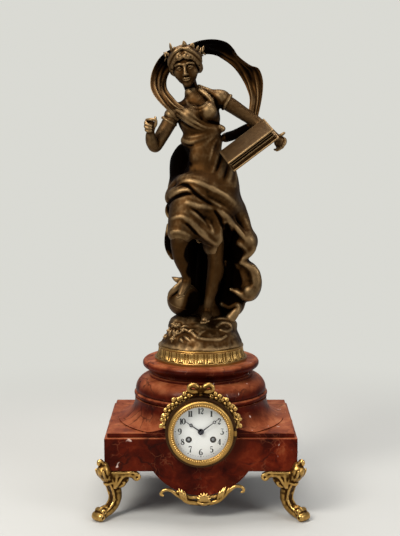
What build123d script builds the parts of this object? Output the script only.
from build123d import *
import math
import os

# Figural mantel clock. Lengths in mm, +Z up, front of the clock toward -Y,
# origin on the floor under the middle of the case.

# Marble case
BLOCK_WIDTH = 309.0
BLOCK_DEPTH = 230.0
BLOCK_BOTTOM_Z = 78.4
BLOCK_TOP_Z = 132.6
BLOCK_EDGE_ROUND = 1.6
APRON_RADIUS = 93.0
APRON_BOTTOM_Z = 38.8
SLAB_SIDE_STEP = 4.5
SLAB_FRONT_STEP = 5.6
SLAB_TOP_Z = 140.2
SLAB_EDGE_ROUND = 1.4
BELL_FOOT_RADIUS = 139.0
BELL_FOOT_STEP = 1.6
BELL_WAIST_RADIUS = 111.0
BELL_WAIST_Z = 177.0
BELL_FILLET_RADIUS = 107.5
BELL_BEAD_RADIUS = 112.0
BELL_BEAD_BOTTOM_Z = 179.0
BELL_BEAD_TOP_Z = 186.5
BELL_SHOULDER_RADIUS = 109.5
BELL_SHOULDER_Z = 189.0
BELL_NECK_RADIUS = 87.0
BELL_NECK_Z = 212.5
BELL_TOP_Z = 216.0
DISC_NECK_RADIUS = 82.5
DISC_NECK_Z = 219.5
DISC_RADIUS = 97.5
DISC_EDGE_BOTTOM_Z = 227.0
DISC_TOP_RADIUS = 93.0
DISC_TOP_Z = 240.0
BORE_RADIUS = 48.0
DIAL_Z = 145.0
CHAMBER_HALF_WIDTH = 30.0
CHAMBER_BOTTOM_Z = 56.0
CHAMBER_FRONT_INSET = 53.0
CHAMBER_BACK_INSET = 71.0

# Socle ring under the figure
RING_FOOT_RADIUS = 77.5
RING_FOOT_HEIGHT = 3.6
RING_BAND_FOOT_RADIUS = 75.0
RING_BAND_TOP_RADIUS = 70.0
RING_BEAD_HEIGHT = 3.6
RING_BEAD_PROUD = 1.6
RING_HEIGHT = 24.5
RING_INNER_RADIUS = 4.1

# Scroll feet, drawn on the diagonal of each corner of the block
FOOT_TOE_REACH = 21.5
FOOT_HEIGHT = BLOCK_BOTTOM_Z
FOOT_WING_LENGTH = 53.0
FOOT_WING_WIDTH = 15.0
FOOT_WING_HEIGHT = 9.0
FOOT_CURL_RADIUS = 6.5
FOOT_TOE_RADIUS = 8.0
FOOT_TOE_WIDTH = 15.0
FOOT_EAR_HEIGHT = 24.0
FOOT_EAR_RADIUS = 5.5
FOOT_PAD_SINK = 1.5
FOOT_WIDTH = 17.0
# Rows are the reach as a share of the toe's reach and the height as a share of the foot's height.
FOOT_OUTER_SHARES = [
    (0.12, 1.270), (0.52, 1.120), (0.58, 0.960), (0.12, 0.690), (-0.62, 0.450), (-0.42, 0.270), (0.56, 0.165)
]
FOOT_INNER_SHARES = [
    (0.56, 0.000), (-0.66, 0.030), (-1.56, 0.250), (-1.66, 0.480), (-1.30, 0.720), (-1.62, 0.940)
]
FOOT_SCREW_INSET = 33.0
FOOT_SCREW_RADIUS = 2.0
FOOT_SCREW_HEAD_RADIUS = 3.6
FOOT_SCREW_HEAD_HEIGHT = 2.4
FOOT_SCREW_DEPTH = 14.0
SCREW_CLEARANCE = 0.1

# Gilt mounts on the front
APRON_MOUNT_INNER_RADIUS = 88.0
APRON_MOUNT_OUTER_RADIUS = 103.5
APRON_MOUNT_HALF_ANGLE = 40.0
APRON_MOUNT_FRONT_INSET = -6.0
APRON_MOUNT_BACK_INSET = 7.0
APRON_MOUNT_CURL_RADIUS = 6.5
APRON_SHELL_RADIUS = 12.0
APRON_SHELL_FRONT_INSET = -9.0
GARLAND_INNER_RADIUS = 57.0
GARLAND_OUTER_RADIUS = 63.5
GARLAND_START_ANGLE = 11.0
GARLAND_FRONT_INSET = -6.0
GARLAND_BACK_INSET = 4.0
GARLAND_FLOWER_RADIUS = 5.4
GARLAND_FLOWER_COUNT = 13
BOW_LOOP_RADIUS = 6.6
BOW_LOOP_THICKNESS = 2.6
BOW_LOOP_SPREAD = 11.0
BOW_LOOP_Z = 216.5
BOW_KNOT_RADIUS = 5.0
BOW_INSET = -1.0

# Bezel and dial
COLLAR_RADIUS = 56.7
COLLAR_BORE_RADIUS = 49.0
COLLAR_LIP_RADIUS = 46.4
COLLAR_BACK_INSET = 17.0
COLLAR_FRONT_INSET = -11.0
COLLAR_GROOVE_RADIUS = 1.0
COLLAR_LUG_INNER = 46.0
COLLAR_LUG_HALF_WIDTH = 4.0
COLLAR_LUG_FRONT_INSET = 3.0
COLLAR_LUG_BACK_INSET = 11.0
DOOR_RADIUS = 52.0
DOOR_OPENING_RADIUS = 43.0
DOOR_BACK_INSET = -11.2
DOOR_FRONT_INSET = -18.6
DOOR_REBATE_RADIUS = 45.0
DOOR_REBATE_DEPTH = 2.6
GLASS_RADIUS = 44.8
GLASS_THICKNESS = 1.8
GLASS_BULGE = 4.4
GLASS_BACK_GAP = 0.5
HINGE_X = 55.0
HINGE_INSET = -13.4
HINGE_RADIUS = 1.9
HINGE_PIN_RADIUS = 0.9
HINGE_KNUCKLE_HALF = 4.0
HINGE_HALF_HEIGHT = 8.0
HINGE_GAP = 0.15
DIAL_RADIUS = 46.2
DIAL_FRONT_INSET = -3.0
DIAL_BACK_INSET = -1.5
DIAL_HOLE_RADIUS = 4.2
DIAL_PLATE_RADIUS = 48.8
DIAL_PLATE_BACK_INSET = 0.0
DIAL_FOOT_RADIUS = 1.5
DIAL_FOOT_RING = 36.0
DIAL_FOOT_ANGLES = (30.0, 150.0, 270.0)
COLLET_OUTER_RADIUS = 5.0
COLLET_HEIGHT = 0.5

# Hands, resting at about nine minutes past ten
HOUR_HAND_LENGTH = 30.6
HOUR_HAND_ANGLE = 304.4
HOUR_HAND_BACK_INSET = -4.4
HOUR_RING_SHARE = 0.62
MINUTE_HAND_LENGTH = 38.5
MINUTE_HAND_ANGLE = 53.0
MINUTE_HAND_BACK_INSET = -6.4
MINUTE_RING_SHARE = 0.70
HAND_THICKNESS = 0.6
HAND_ROOT_WIDTH = 2.2
HAND_TIP_WIDTH = 0.5
HAND_RING_RADIUS = 2.7
HAND_RING_HOLE = 1.5
HOUR_BOSS_RADIUS = 5.0
MINUTE_BOSS_RADIUS = 4.0
HAND_CAP_RADIUS = 2.8
HAND_CAP_HEIGHT = 1.6

# Movement frame
PLATE_RADIUS = 41.0
FRONT_PLATE_FRONT_INSET = 9.0
FRONT_PLATE_BACK_INSET = 11.5
BACK_PLATE_FRONT_INSET = 49.0
BACK_PLATE_BACK_INSET = 51.5
PILLAR_RADIUS = 2.2
PILLAR_RING = 37.5
PILLAR_ANGLES = (0.0, 60.0, 120.0, 180.0, 270.0)
PIVOT_RADIUS = 0.7
ARBOR_RADIUS = 0.95
RUNNING_GAP = 0.06
END_SHAKE = 0.1

# Winding side
WINDING_SPREAD = 19.4
WINDING_DROP = 13.0
BARREL_RADIUS = 15.5
BARREL_FRONT_INSET = 17.5
BARREL_BACK_INSET = 41.0
GREAT_BACK_INSET = 43.5
WINDING_ARBOR_RADIUS = 2.5
WINDING_REAR_PIVOT = 1.5
WINDING_SQUARE = 3.2
WINDING_SHOULDER_INSET = 2.0
WINDING_TIP_INSET = -2.4
RATCHET_RADIUS = 7.0
RATCHET_ROOT = 6.1
RATCHET_TEETH = 24
RATCHET_FRONT_INSET = 7.4
RATCHET_BACK_INSET = 8.7
CLICK_GAP = 0.4
CLICK_LENGTH = 5.5
CLICK_WIDTH = 3.0
CLICK_STUD_RADIUS = 1.4
CLICK_ANGLE = -62.0

# Toothed wheels: modules, counts and layers
PRESSURE_ANGLE = 25.0
BACKLASH = 0.08
ADDENDUM_SHARE = 0.8
DEDENDUM_SHARE = 1.12
GREAT_MODULE = 0.5
GREAT_TEETH = 68
SECOND_PINION_TEETH = 10
SECOND_MODULE = 0.45
SECOND_TEETH = 72
SECOND_FRONT_INSET = 15.0
SECOND_BACK_INSET = 16.5
SECOND_PINION_FRONT_INSET = 40.2
SECOND_PINION_BACK_INSET = 44.2
CENTRE_PINION_TEETH = 10
CENTRE_PINION_FRONT_INSET = 14.0
CENTRE_PINION_BACK_INSET = 17.3
CENTRE_MODULE = 0.35
CENTRE_TEETH = 80
CENTRE_FRONT_INSET = 45.0
CENTRE_BACK_INSET = 46.5
CENTRE_ARBOR_RADIUS = 1.25
CENTRE_ARBOR_TIP_INSET = -6.2
THIRD_PINION_TEETH = 10
THIRD_PINION_FRONT_INSET = 44.0
THIRD_PINION_BACK_INSET = 47.4
THIRD_ANGLE = 59.85
THIRD_MODULE = 0.30
THIRD_TEETH = 75
THIRD_FRONT_INSET = 19.6
THIRD_BACK_INSET = 20.8
ESCAPE_PINION_TEETH = 10
ESCAPE_PINION_FRONT_INSET = 18.6
ESCAPE_PINION_BACK_INSET = 21.8
ESCAPE_RADIUS = 7.5
ESCAPE_ROOT = 6.1
ESCAPE_TEETH = 30
ESCAPE_FRONT_INSET = 43.0
ESCAPE_BACK_INSET = 44.2
CANNON_TEETH = 12
MINUTE_MODULE = 0.5
MINUTE_TEETH = 36
MINUTE_WHEEL_FRONT_INSET = 6.2
MINUTE_WHEEL_BACK_INSET = 7.6
CANNON_PINION_FRONT_INSET = 5.8
CANNON_PINION_BACK_INSET = 8.0
CANNON_PIPE_RADIUS = 2.3
MINUTE_PINION_TEETH = 10
HOUR_MODULE = 0.48
HOUR_TEETH = 40
HOUR_WHEEL_FRONT_INSET = 3.8
HOUR_WHEEL_BACK_INSET = 5.2
MINUTE_PINION_FRONT_INSET = 3.0
HOUR_PIPE_RADIUS = 3.3
MINUTE_STUD_RADIUS = 1.0
MINUTE_STUD_TIP_INSET = 2.2

# Escapement and pendulum
ANCHOR_RISE = 9.9
ANCHOR_ARBOR_RADIUS = 1.2
ANCHOR_HUB_RADIUS = 2.2
ANCHOR_FRONT_INSET = 42.6
ANCHOR_BACK_INSET = 44.6
ANCHOR_ARM_SPREAD = 7.7
ANCHOR_ARM_DROP = 4.1
ANCHOR_ARM_WIDTH = 1.8
CRUTCH_FRONT_INSET = 52.4
CRUTCH_BACK_INSET = 53.6
CRUTCH_WIDTH = 2.4
CRUTCH_DROP = 25.0
CRUTCH_FORK_SPREAD = 2.2
CRUTCH_FORK_RADIUS = 0.7
CRUTCH_FORK_BACK_INSET = 63.0
COCK_LEG_SPREAD = 8.0
COCK_LEG_RADIUS = 1.8
COCK_FRONT_INSET = 64.4
COCK_BACK_INSET = 66.4
COCK_HALF_HEIGHT = 3.0
STUD_RADIUS = 1.0
STUD_TIP_INSET = 57.0
PENDULUM_INSET = 61.0
PENDULUM_EYE_RADIUS = 2.8
PENDULUM_EYE_LENGTH = 4.0
PENDULUM_ROD_RADIUS = 1.1
PENDULUM_BOB_RADIUS = 18.0
PENDULUM_BOB_THICKNESS = 8.0
PENDULUM_BOB_EDGE = 2.4
PENDULUM_LENGTH = 95.5
RATING_NUT_RADIUS = 2.8
RATING_NUT_HEIGHT = 3.0
RATING_NUT_GAP = 1.0
PENDULUM_TAIL = 1.5

# Strike side
PIN_WHEEL_ANGLE = 97.5
PIN_PINION_TEETH = 10
PIN_DISC_RADIUS = 10.0
PIN_DISC_FRONT_INSET = 13.6
PIN_DISC_BACK_INSET = 15.2
PIN_RING = 8.2
PIN_RADIUS = 0.55
PIN_COUNT = 10
PIN_BACK_INSET = 17.1
HAMMER_SPREAD = 36.0
HAMMER_RISE = 10.0
HAMMER_ARBOR_RADIUS = 1.2
HAMMER_TAIL_LENGTH = 4.6
HAMMER_TAIL_WIDTH = 1.6
HAMMER_ARM_BACK_INSET = 55.5
HAMMER_ARM_WIDTH = 2.4
HAMMER_ARM_DROP = 12.0
HAMMER_REACH_BACK_INSET = 81.0
HAMMER_HEAD_RADIUS = 2.6
HAMMER_HEAD_INNER_X = -30.7
HAMMER_HEAD_OUTER_X = -38.0
STRIKE_BELL_RADIUS = 30.0
STRIKE_BELL_WALL = 1.8
STRIKE_BELL_MOUTH_INSET = 75.0
STRIKE_BELL_CROWN_INSET = 99.0
STRIKE_BELL_CROWN_RADIUS = 9.0
STAND_X = 30.0
STAND_DROP = 22.0
STAND_RADIUS = 2.2
STAND_ARM_THICKNESS = 2.5
STAND_ARM_WIDTH = 5.0
STAND_SCREW_RADIUS = 2.0
STAND_NUT_RADIUS = 3.6
STAND_NUT_HEIGHT = 2.4

# Rear of the case
REAR_RING_RADIUS = 56.0
REAR_RING_BORE = 40.0
REAR_RING_BACK_OUT = 3.0
REAR_DOOR_RADIUS = 51.0
REAR_DOOR_FRONT_OUT = 3.2
REAR_DOOR_BACK_OUT = 5.2
REAR_HINGE_OUT = 5.4
REAR_KNOB_RADIUS = 3.0
REAR_KNOB_LENGTH = 3.4
SOUND_HOLE_RADIUS = 2.4
SOUND_HOLE_RING = 24.0
SOUND_HOLE_COUNT = 12
STRAP_INNER = 44.5
STRAP_OUTER = 46.0
STRAP_HALF_WIDTH = 4.0
STRAP_TAB_INNER = 40.5
STRAP_TAB_THICKNESS = 1.5
STRAP_SCREW_X = 43.0
STRAP_SCREW_RADIUS = 1.2
STRAP_HEAD_RADIUS = 2.2
STRAP_HEAD_HEIGHT = 1.2
COLLAR_SCREW_LENGTH = 4.0

# Figure
FIGURE_HEIGHT = 505.5
FIGURE_BASE_Z = DISC_TOP_Z + RING_HEIGHT
ROD_RADIUS = 4.0
ROD_TOP_Z = 292.0
ROD_BOTTOM_Z = 183.0
NUT_RADIUS = 7.5
NUT_HEIGHT = 6.0
NUT_GAP = 0.2
# Rows are x, y, z, half width and half depth.
ROCK_STATION_SHARES = [
    (0.000, 0.000, 0.000, 0.139, 0.139),
    (0.000, 0.000, 0.026, 0.136, 0.136),
    (0.004, 0.002, 0.056, 0.118, 0.118),
    (0.008, 0.004, 0.080, 0.098, 0.098),
]
GOWN_CORE_SHARES = [
    (0.024, 0.048, 0.070, 0.086, 0.040),
    (0.026, 0.050, 0.160, 0.076, 0.038),
    (0.026, 0.046, 0.250, 0.074, 0.040),
    (0.022, 0.030, 0.330, 0.076, 0.050),
    (0.014, 0.008, 0.400, 0.084, 0.070),
    (0.020, 0.002, 0.470, 0.092, 0.072),
    (0.028, 0.004, 0.530, 0.084, 0.064),
    (0.022, 0.004, 0.590, 0.068, 0.054),
    (0.010, 0.002, 0.650, 0.060, 0.046),
    (0.000, 0.000, 0.700, 0.064, 0.046),
    (-0.004, 0.004, 0.750, 0.068, 0.044),
    (-0.004, 0.008, 0.788, 0.058, 0.034),
    (-0.012, 0.008, 0.812, 0.026, 0.024),
]
CASCADE_CORE_SHARES = [
    (0.108, 0.018, 0.070, 0.030, 0.036),
    (0.110, 0.018, 0.140, 0.040, 0.040),
    (0.112, 0.016, 0.220, 0.042, 0.042),
    (0.112, 0.016, 0.290, 0.040, 0.040),
    (0.114, 0.016, 0.360, 0.044, 0.042),
    (0.112, 0.018, 0.440, 0.040, 0.044),
    (0.100, 0.020, 0.500, 0.030, 0.040),
]
CASCADE_SEAM_SHARE = 0.086
# Heights at which the cloth's outline is drawn.
GOWN_LEVEL_SHARES = [
    0.070, 0.130, 0.200, 0.270, 0.308, 0.325, 0.345, 0.365, 0.385, 0.405, 0.430,
    0.455, 0.475, 0.490, 0.505, 0.520, 0.535, 0.550, 0.565, 0.585, 0.610, 0.640,
    0.670, 0.690, 0.705, 0.720, 0.735, 0.750, 0.765, 0.780, 0.795, 0.812,
]
CASCADE_LEVEL_SHARES = [
    0.070, 0.100, 0.120, 0.140, 0.160, 0.180, 0.200, 0.220, 0.240, 0.260,
    0.280, 0.300, 0.320, 0.340, 0.360, 0.380, 0.410, 0.440, 0.470, 0.500,
]
OUTLINE_POINTS = 24
BEADS_PER_SPAN = 8
# What lies under or on the cloth: rows are x, y, z and radius.
RAISED_THIGH_SHARES = [
    (0.004, -0.016, 0.510, 0.066),
    (-0.035, -0.059, 0.456, 0.062),
    (-0.060, -0.092, 0.400, 0.044),
]
STANDING_THIGH_SHARES = [
    (0.050, -0.010, 0.470, 0.068),
    (0.049, -0.020, 0.400, 0.060),
    (0.049, -0.028, 0.352, 0.044),
]
SHAWL_SHARES = [
    (-0.084, 0.014, 0.490, 0.020),
    (-0.092, -0.030, 0.508, 0.022),
    (-0.062, -0.064, 0.534, 0.022),
    (-0.012, -0.078, 0.538, 0.022),
    (0.036, -0.072, 0.524, 0.020),
    (0.081, -0.054, 0.500, 0.018),
    (0.112, -0.018, 0.470, 0.016),
]
CLOAK_SHARES = [
    (-0.040, 0.030, 0.664, 0.016),
    (-0.070, 0.046, 0.620, 0.024),
    (-0.076, 0.046, 0.575, 0.026),
    (-0.074, 0.036, 0.530, 0.026),
    (-0.060, 0.020, 0.480, 0.022),
]
SASH_SHARES = [
    (-0.086, -0.014, 0.772, 0.014),
    (-0.062, -0.040, 0.752, 0.018),
    (-0.016, -0.048, 0.724, 0.018),
    (0.030, -0.044, 0.708, 0.016),
    (0.062, -0.024, 0.704, 0.014),
]
BUST_LEFT_SHARES = [(0.024, -0.032, 0.765, 0.028)]
BUST_RIGHT_SHARES = [(-0.033, -0.032, 0.756, 0.028)]
CASCADE_FALL_SHARES = [
    (0.115, 0.024, 0.480, 0.030),
    (0.139, 0.018, 0.416, 0.038),
    (0.149, 0.010, 0.351, 0.040),
    (0.129, 0.016, 0.290, 0.032),
]
CASCADE_LOOP_SHARES = [
    (0.150, 0.004, 0.230, 0.048),
    (0.152, 0.008, 0.190, 0.050),
    (0.107, 0.014, 0.142, 0.044),
]
CASCADE_SCOOP_SHARES = [
    (0.137, -0.056, 0.216, 0.044),
    (0.110, -0.052, 0.286, 0.040),
]
# Rows are x, y, z, half width and half depth.
HEAD_STATION_SHARES = [
    (-0.066, -0.024, 0.848, 0.014, 0.016),
    (-0.058, -0.018, 0.872, 0.032, 0.038),
    (-0.046, -0.010, 0.910, 0.042, 0.052),
    (-0.036, -0.002, 0.946, 0.038, 0.046),
    (-0.030, 0.004, 0.968, 0.018, 0.022),
]
# Rows are x, y, z and radius.
NECK_STATION_SHARES = [
    (-0.008, 0.010, 0.800, 0.027),
    (-0.022, 0.004, 0.836, 0.023),
    (-0.038, -0.004, 0.880, 0.024),
]
STANDING_LEG_SHARES = [
    (0.040, -0.030, 0.330, 0.034),
    (0.034, -0.046, 0.250, 0.031),
    (0.024, -0.046, 0.170, 0.024),
    (0.014, -0.038, 0.105, 0.016),
]
STANDING_FOOT_SHARES = [
    (0.016, -0.024, 0.094, 0.018),
    (0.010, -0.062, 0.090, 0.017),
    (0.004, -0.098, 0.082, 0.012),
]
RAISED_LEG_SHARES = [
    (-0.020, -0.060, 0.400, 0.050),
    (-0.060, -0.104, 0.352, 0.036),
    (-0.058, -0.094, 0.290, 0.028),
    (-0.052, -0.070, 0.236, 0.017),
]
RAISED_FOOT_SHARES = [
    (-0.050, -0.056, 0.226, 0.018),
    (-0.060, -0.088, 0.204, 0.016),
    (-0.068, -0.116, 0.176, 0.011),
]
GLOBE_CENTRE_SHARE = (-0.056, -0.020, 0.150)
GLOBE_RADIUS_SHARE = 0.056
RIGHT_ARM_SHARES = [
    (-0.058, 0.004, 0.760, 0.030),
    (-0.104, -0.010, 0.702, 0.025),
    (-0.146, -0.030, 0.648, 0.021),
    (-0.164, -0.054, 0.672, 0.016),
    (-0.172, -0.068, 0.700, 0.020),
    (-0.170, -0.074, 0.722, 0.016),
]
LEFT_ARM_SHARES = [
    (0.064, 0.008, 0.784, 0.030),
    (0.124, 0.008, 0.756, 0.026),
    (0.186, 0.000, 0.732, 0.022),
    (0.226, -0.014, 0.702, 0.017),
    (0.258, -0.022, 0.678, 0.014),
    (0.276, -0.026, 0.664, 0.009),
]
# Rows are x, y, z of the scarf's outer edge, then of its inner edge.
SCARF_EDGE_SHARES = [
    (0.184, 0.006, 0.731, 0.155, 0.018, 0.746),
    (0.204, 0.016, 0.790, 0.158, 0.036, 0.796),
    (0.204, 0.026, 0.846, 0.148, 0.053, 0.847),
    (0.163, 0.038, 0.918, 0.099, 0.077, 0.917),
    (0.093, 0.044, 0.984, 0.038, 0.093, 0.953),
    (-0.013, 0.044, 0.992, -0.033, 0.091, 0.947),
    (-0.110, 0.032, 0.960, -0.087, 0.071, 0.917),
    (-0.160, 0.010, 0.884, -0.114, 0.036, 0.861),
    (-0.150, -0.018, 0.809, -0.090, -0.008, 0.806),
    (-0.102, -0.042, 0.761, -0.044, -0.042, 0.768),
]
SCARF_THICKNESS = 4.0
SCARF_PLEATS = 3
SCARF_PLEAT_DEPTH = 5.0
BOOK_CENTRE_SHARE = (0.156, -0.060, 0.652)
BOOK_LENGTH = 96.0
BOOK_WIDTH = 52.0
BOOK_THICKNESS = 20.0
BOOK_COVER = 2.4
BOOK_COVER_OVERLAP = 2.4
BOOK_LENGTH_DIRECTION = (0.69, 0.0, 0.72)
BOOK_THICKNESS_DIRECTION = (0.65, 0.42, -0.63)

FAR = 600.0

# Depths follow the block: insets run inward from its front face, the rest stand out behind it
SLAB_WIDTH = BLOCK_WIDTH - 2 * SLAB_SIDE_STEP
SLAB_DEPTH = BLOCK_DEPTH - 2 * SLAB_FRONT_STEP
FRONT_Y = -BLOCK_DEPTH / 2
REAR_Y = BLOCK_DEPTH / 2
CHAMBER_FRONT_Y = FRONT_Y + CHAMBER_FRONT_INSET
CHAMBER_BACK_Y = FRONT_Y + CHAMBER_BACK_INSET
APRON_MOUNT_FRONT_Y = FRONT_Y + APRON_MOUNT_FRONT_INSET
APRON_MOUNT_BACK_Y = FRONT_Y + APRON_MOUNT_BACK_INSET
APRON_SHELL_FRONT_Y = FRONT_Y + APRON_SHELL_FRONT_INSET
GARLAND_FRONT_Y = FRONT_Y + GARLAND_FRONT_INSET
GARLAND_BACK_Y = FRONT_Y + GARLAND_BACK_INSET
BOW_Y = FRONT_Y + BOW_INSET
COLLAR_BACK_Y = FRONT_Y + COLLAR_BACK_INSET
COLLAR_FRONT_Y = FRONT_Y + COLLAR_FRONT_INSET
COLLAR_LUG_FRONT_Y = FRONT_Y + COLLAR_LUG_FRONT_INSET
COLLAR_LUG_BACK_Y = FRONT_Y + COLLAR_LUG_BACK_INSET
DOOR_BACK_Y = FRONT_Y + DOOR_BACK_INSET
DOOR_FRONT_Y = FRONT_Y + DOOR_FRONT_INSET
HINGE_Y = FRONT_Y + HINGE_INSET
DIAL_FRONT_Y = FRONT_Y + DIAL_FRONT_INSET
DIAL_BACK_Y = FRONT_Y + DIAL_BACK_INSET
DIAL_PLATE_BACK_Y = FRONT_Y + DIAL_PLATE_BACK_INSET
HOUR_HAND_BACK_Y = FRONT_Y + HOUR_HAND_BACK_INSET
MINUTE_HAND_BACK_Y = FRONT_Y + MINUTE_HAND_BACK_INSET
FRONT_PLATE_FRONT_Y = FRONT_Y + FRONT_PLATE_FRONT_INSET
FRONT_PLATE_BACK_Y = FRONT_Y + FRONT_PLATE_BACK_INSET
BACK_PLATE_FRONT_Y = FRONT_Y + BACK_PLATE_FRONT_INSET
BACK_PLATE_BACK_Y = FRONT_Y + BACK_PLATE_BACK_INSET
BARREL_FRONT_Y = FRONT_Y + BARREL_FRONT_INSET
BARREL_BACK_Y = FRONT_Y + BARREL_BACK_INSET
GREAT_BACK_Y = FRONT_Y + GREAT_BACK_INSET
WINDING_SHOULDER_Y = FRONT_Y + WINDING_SHOULDER_INSET
WINDING_TIP_Y = FRONT_Y + WINDING_TIP_INSET
RATCHET_FRONT_Y = FRONT_Y + RATCHET_FRONT_INSET
RATCHET_BACK_Y = FRONT_Y + RATCHET_BACK_INSET
SECOND_FRONT_Y = FRONT_Y + SECOND_FRONT_INSET
SECOND_BACK_Y = FRONT_Y + SECOND_BACK_INSET
SECOND_PINION_FRONT_Y = FRONT_Y + SECOND_PINION_FRONT_INSET
SECOND_PINION_BACK_Y = FRONT_Y + SECOND_PINION_BACK_INSET
CENTRE_PINION_FRONT_Y = FRONT_Y + CENTRE_PINION_FRONT_INSET
CENTRE_PINION_BACK_Y = FRONT_Y + CENTRE_PINION_BACK_INSET
CENTRE_FRONT_Y = FRONT_Y + CENTRE_FRONT_INSET
CENTRE_BACK_Y = FRONT_Y + CENTRE_BACK_INSET
CENTRE_ARBOR_TIP_Y = FRONT_Y + CENTRE_ARBOR_TIP_INSET
THIRD_PINION_FRONT_Y = FRONT_Y + THIRD_PINION_FRONT_INSET
THIRD_PINION_BACK_Y = FRONT_Y + THIRD_PINION_BACK_INSET
THIRD_FRONT_Y = FRONT_Y + THIRD_FRONT_INSET
THIRD_BACK_Y = FRONT_Y + THIRD_BACK_INSET
ESCAPE_PINION_FRONT_Y = FRONT_Y + ESCAPE_PINION_FRONT_INSET
ESCAPE_PINION_BACK_Y = FRONT_Y + ESCAPE_PINION_BACK_INSET
ESCAPE_FRONT_Y = FRONT_Y + ESCAPE_FRONT_INSET
ESCAPE_BACK_Y = FRONT_Y + ESCAPE_BACK_INSET
MINUTE_WHEEL_FRONT_Y = FRONT_Y + MINUTE_WHEEL_FRONT_INSET
MINUTE_WHEEL_BACK_Y = FRONT_Y + MINUTE_WHEEL_BACK_INSET
CANNON_PINION_FRONT_Y = FRONT_Y + CANNON_PINION_FRONT_INSET
CANNON_PINION_BACK_Y = FRONT_Y + CANNON_PINION_BACK_INSET
HOUR_WHEEL_FRONT_Y = FRONT_Y + HOUR_WHEEL_FRONT_INSET
HOUR_WHEEL_BACK_Y = FRONT_Y + HOUR_WHEEL_BACK_INSET
MINUTE_PINION_FRONT_Y = FRONT_Y + MINUTE_PINION_FRONT_INSET
MINUTE_STUD_TIP_Y = FRONT_Y + MINUTE_STUD_TIP_INSET
ANCHOR_FRONT_Y = FRONT_Y + ANCHOR_FRONT_INSET
ANCHOR_BACK_Y = FRONT_Y + ANCHOR_BACK_INSET
CRUTCH_FRONT_Y = FRONT_Y + CRUTCH_FRONT_INSET
CRUTCH_BACK_Y = FRONT_Y + CRUTCH_BACK_INSET
CRUTCH_FORK_BACK_Y = FRONT_Y + CRUTCH_FORK_BACK_INSET
COCK_FRONT_Y = FRONT_Y + COCK_FRONT_INSET
COCK_BACK_Y = FRONT_Y + COCK_BACK_INSET
STUD_TIP_Y = FRONT_Y + STUD_TIP_INSET
PENDULUM_Y = FRONT_Y + PENDULUM_INSET
PIN_DISC_FRONT_Y = FRONT_Y + PIN_DISC_FRONT_INSET
PIN_DISC_BACK_Y = FRONT_Y + PIN_DISC_BACK_INSET
PIN_BACK_Y = FRONT_Y + PIN_BACK_INSET
HAMMER_ARM_BACK_Y = FRONT_Y + HAMMER_ARM_BACK_INSET
HAMMER_REACH_BACK_Y = FRONT_Y + HAMMER_REACH_BACK_INSET
STRIKE_BELL_MOUTH_Y = FRONT_Y + STRIKE_BELL_MOUTH_INSET
STRIKE_BELL_CROWN_Y = FRONT_Y + STRIKE_BELL_CROWN_INSET
REAR_RING_FRONT_Y = REAR_Y
REAR_RING_BACK_Y = REAR_Y + REAR_RING_BACK_OUT
REAR_DOOR_FRONT_Y = REAR_Y + REAR_DOOR_FRONT_OUT
REAR_DOOR_BACK_Y = REAR_Y + REAR_DOOR_BACK_OUT
REAR_HINGE_Y = REAR_Y + REAR_HINGE_OUT


# Helpers for placing things on the movement's axis
def facing(y, at=(0.0, 0.0)):
    """Plane across the clock at depth y, its normal toward the front, its middle on the dial's axis."""
    return Plane(origin=(at[0], y, DIAL_Z + at[1]), x_dir=(1, 0, 0), z_dir=(0, -1, 0))


def rod(at, front_y, back_y, radius):
    """Round bar along Y through the point at, given from the dial's axis."""
    return Solid.make_cylinder(radius, back_y - front_y, facing(back_y, at))


def bar(at, end, front_y, back_y, width):
    """Flat bar with round ends between two points of the movement."""
    run = math.dist(at, end)
    turn = math.degrees(math.atan2(end[1] - at[1], end[0] - at[0]))
    outline = Rot(0, 0, turn) * Pos(run / 2, 0, 0) * SlotCenterToCenter(run, width)
    return extrude(facing(back_y, at) * outline, amount=back_y - front_y)


def polar(radius, angle):
    """Point at a radius and an angle from +X toward +Z."""
    return (radius * math.cos(math.radians(angle)), radius * math.sin(math.radians(angle)))


def plus(one, two):
    """Sum of two points of the movement."""
    return (one[0] + two[0], one[1] + two[1])


def angle_to(one, two):
    """Angle in degrees of the line from one point to another."""
    return math.degrees(math.atan2(two[1] - one[1], two[0] - one[0]))


def meet(one, one_reach, two, two_reach, side):
    """Point at two given distances from two points, on the chosen side of the line between them."""
    gap = math.dist(one, two)
    along = (one_reach ** 2 - two_reach ** 2 + gap ** 2) / (2 * gap)
    off = math.sqrt(one_reach ** 2 - along ** 2) * side
    cos = (two[0] - one[0]) / gap
    sin = (two[1] - one[1]) / gap
    return (one[0] + along * cos - off * sin, one[1] + along * sin + off * cos)


def path(start, moves):
    """Closed face from a point and moves: two numbers are a line's end, four an arc's middle and end."""
    edges = []
    here = start
    for move in moves:
        if len(move) == 4:
            edges.append(ThreePointArc(here, move[:2], move[2:]))
        else:
            edges.append(Line(here, move))
        here = move[-2:]
    edges.append(Line(here, start))
    return make_face(edges)


def turned(start, *moves):
    """Solid of revolution about Z from a half outline of radius and height."""
    return revolve(Plane.XZ * path(start, moves), Axis.Z)


def turned_front(y, start, *moves):
    """Solid of revolution about the dial's axis: radius, and how far in front of depth y."""
    return facing(y) * turned(start, *moves)


def dome_middle(radius, rise):
    """Point halfway out on a dome of a given rise: its radius and its height over the rim."""
    ball_radius = (radius ** 2 + rise ** 2) / (2 * rise)
    half = radius / 2
    return half, math.sqrt(ball_radius ** 2 - half ** 2) - ball_radius + rise


def box_between(low, high):
    """Box from its low corner to its high corner."""
    size = [high[i] - low[i] for i in range(3)]
    return Solid.make_box(*size, Plane(origin=low))


# Helpers for toothed wheels
def pitch_radius(module, teeth):
    return module * teeth / 2


def involute(angle):
    return math.tan(angle) - angle


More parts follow.
